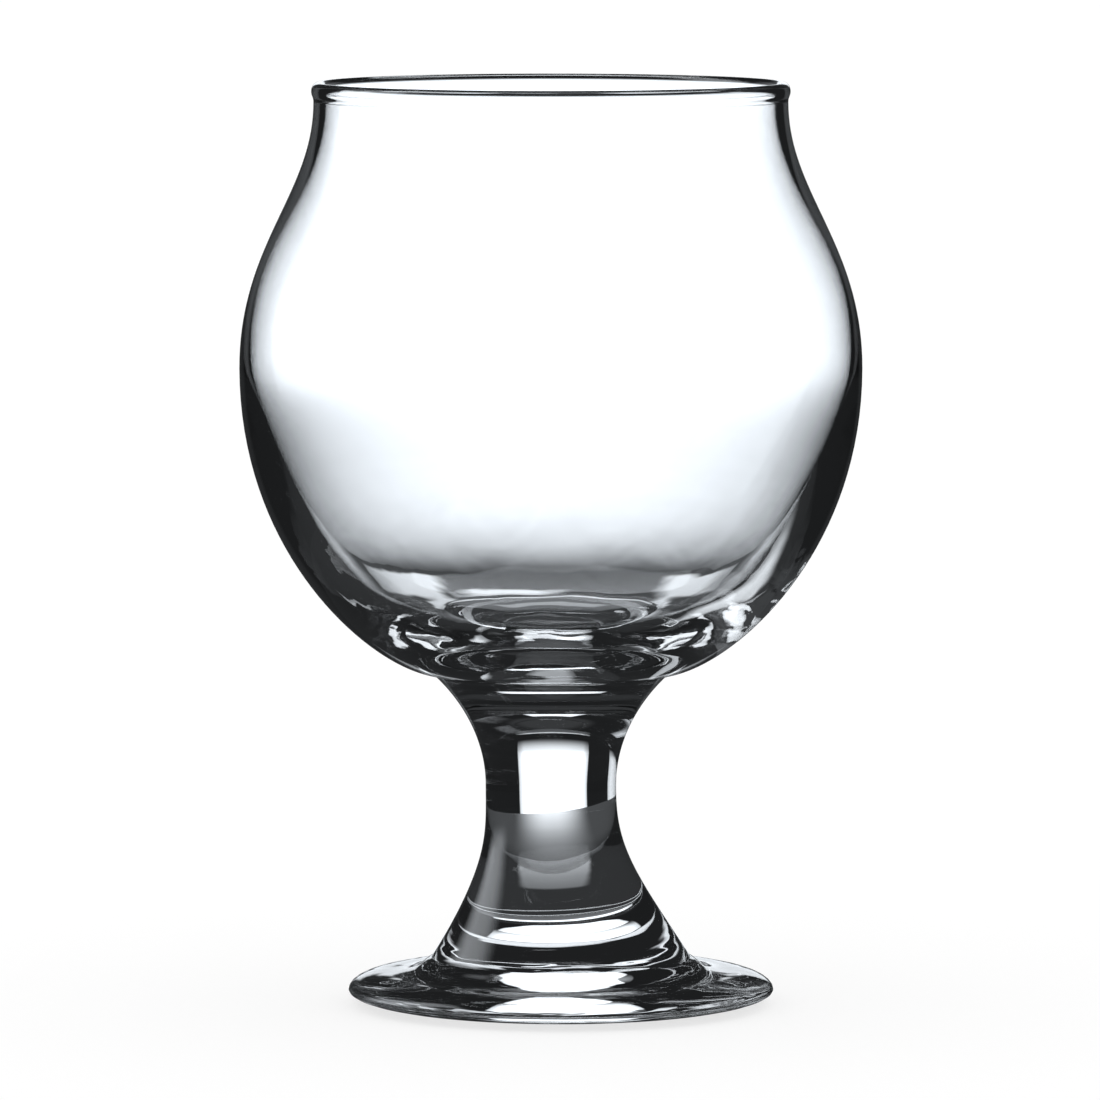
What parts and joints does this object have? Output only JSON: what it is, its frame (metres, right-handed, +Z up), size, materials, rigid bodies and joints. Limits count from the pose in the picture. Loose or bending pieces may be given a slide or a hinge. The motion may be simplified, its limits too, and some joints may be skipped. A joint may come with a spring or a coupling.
{
  "type": "beer taster glass",
  "caption": "Clear stemmed taster glass: round bowl with a drawn-in neck and beaded rim, short waisted stem and a broad round foot, for small pours of beer.",
  "frame": {"origin": "on the bowl's axis, at the height of the table that the foot stands on", "axes": "+Z up along the bowl's axis, +X to the right as pictured, +Y away from the viewer"},
  "size_m": [0.0706, 0.0706, 0.1048],
  "materials": {
    "bowl_glass": "clear fire-polished glass, thin at the rim and thick at the base",
    "stem_glass": "clear solid pressed glass, fused to the bowl and the foot",
    "foot_glass": "clear pressed glass with faint ripples and a smooth standing ring"
  },
  "bodies": {
    "root": {"bowl": "bowl_glass", "stem": "stem_glass", "foot": "foot_glass"}
  },
  "joints": []
}
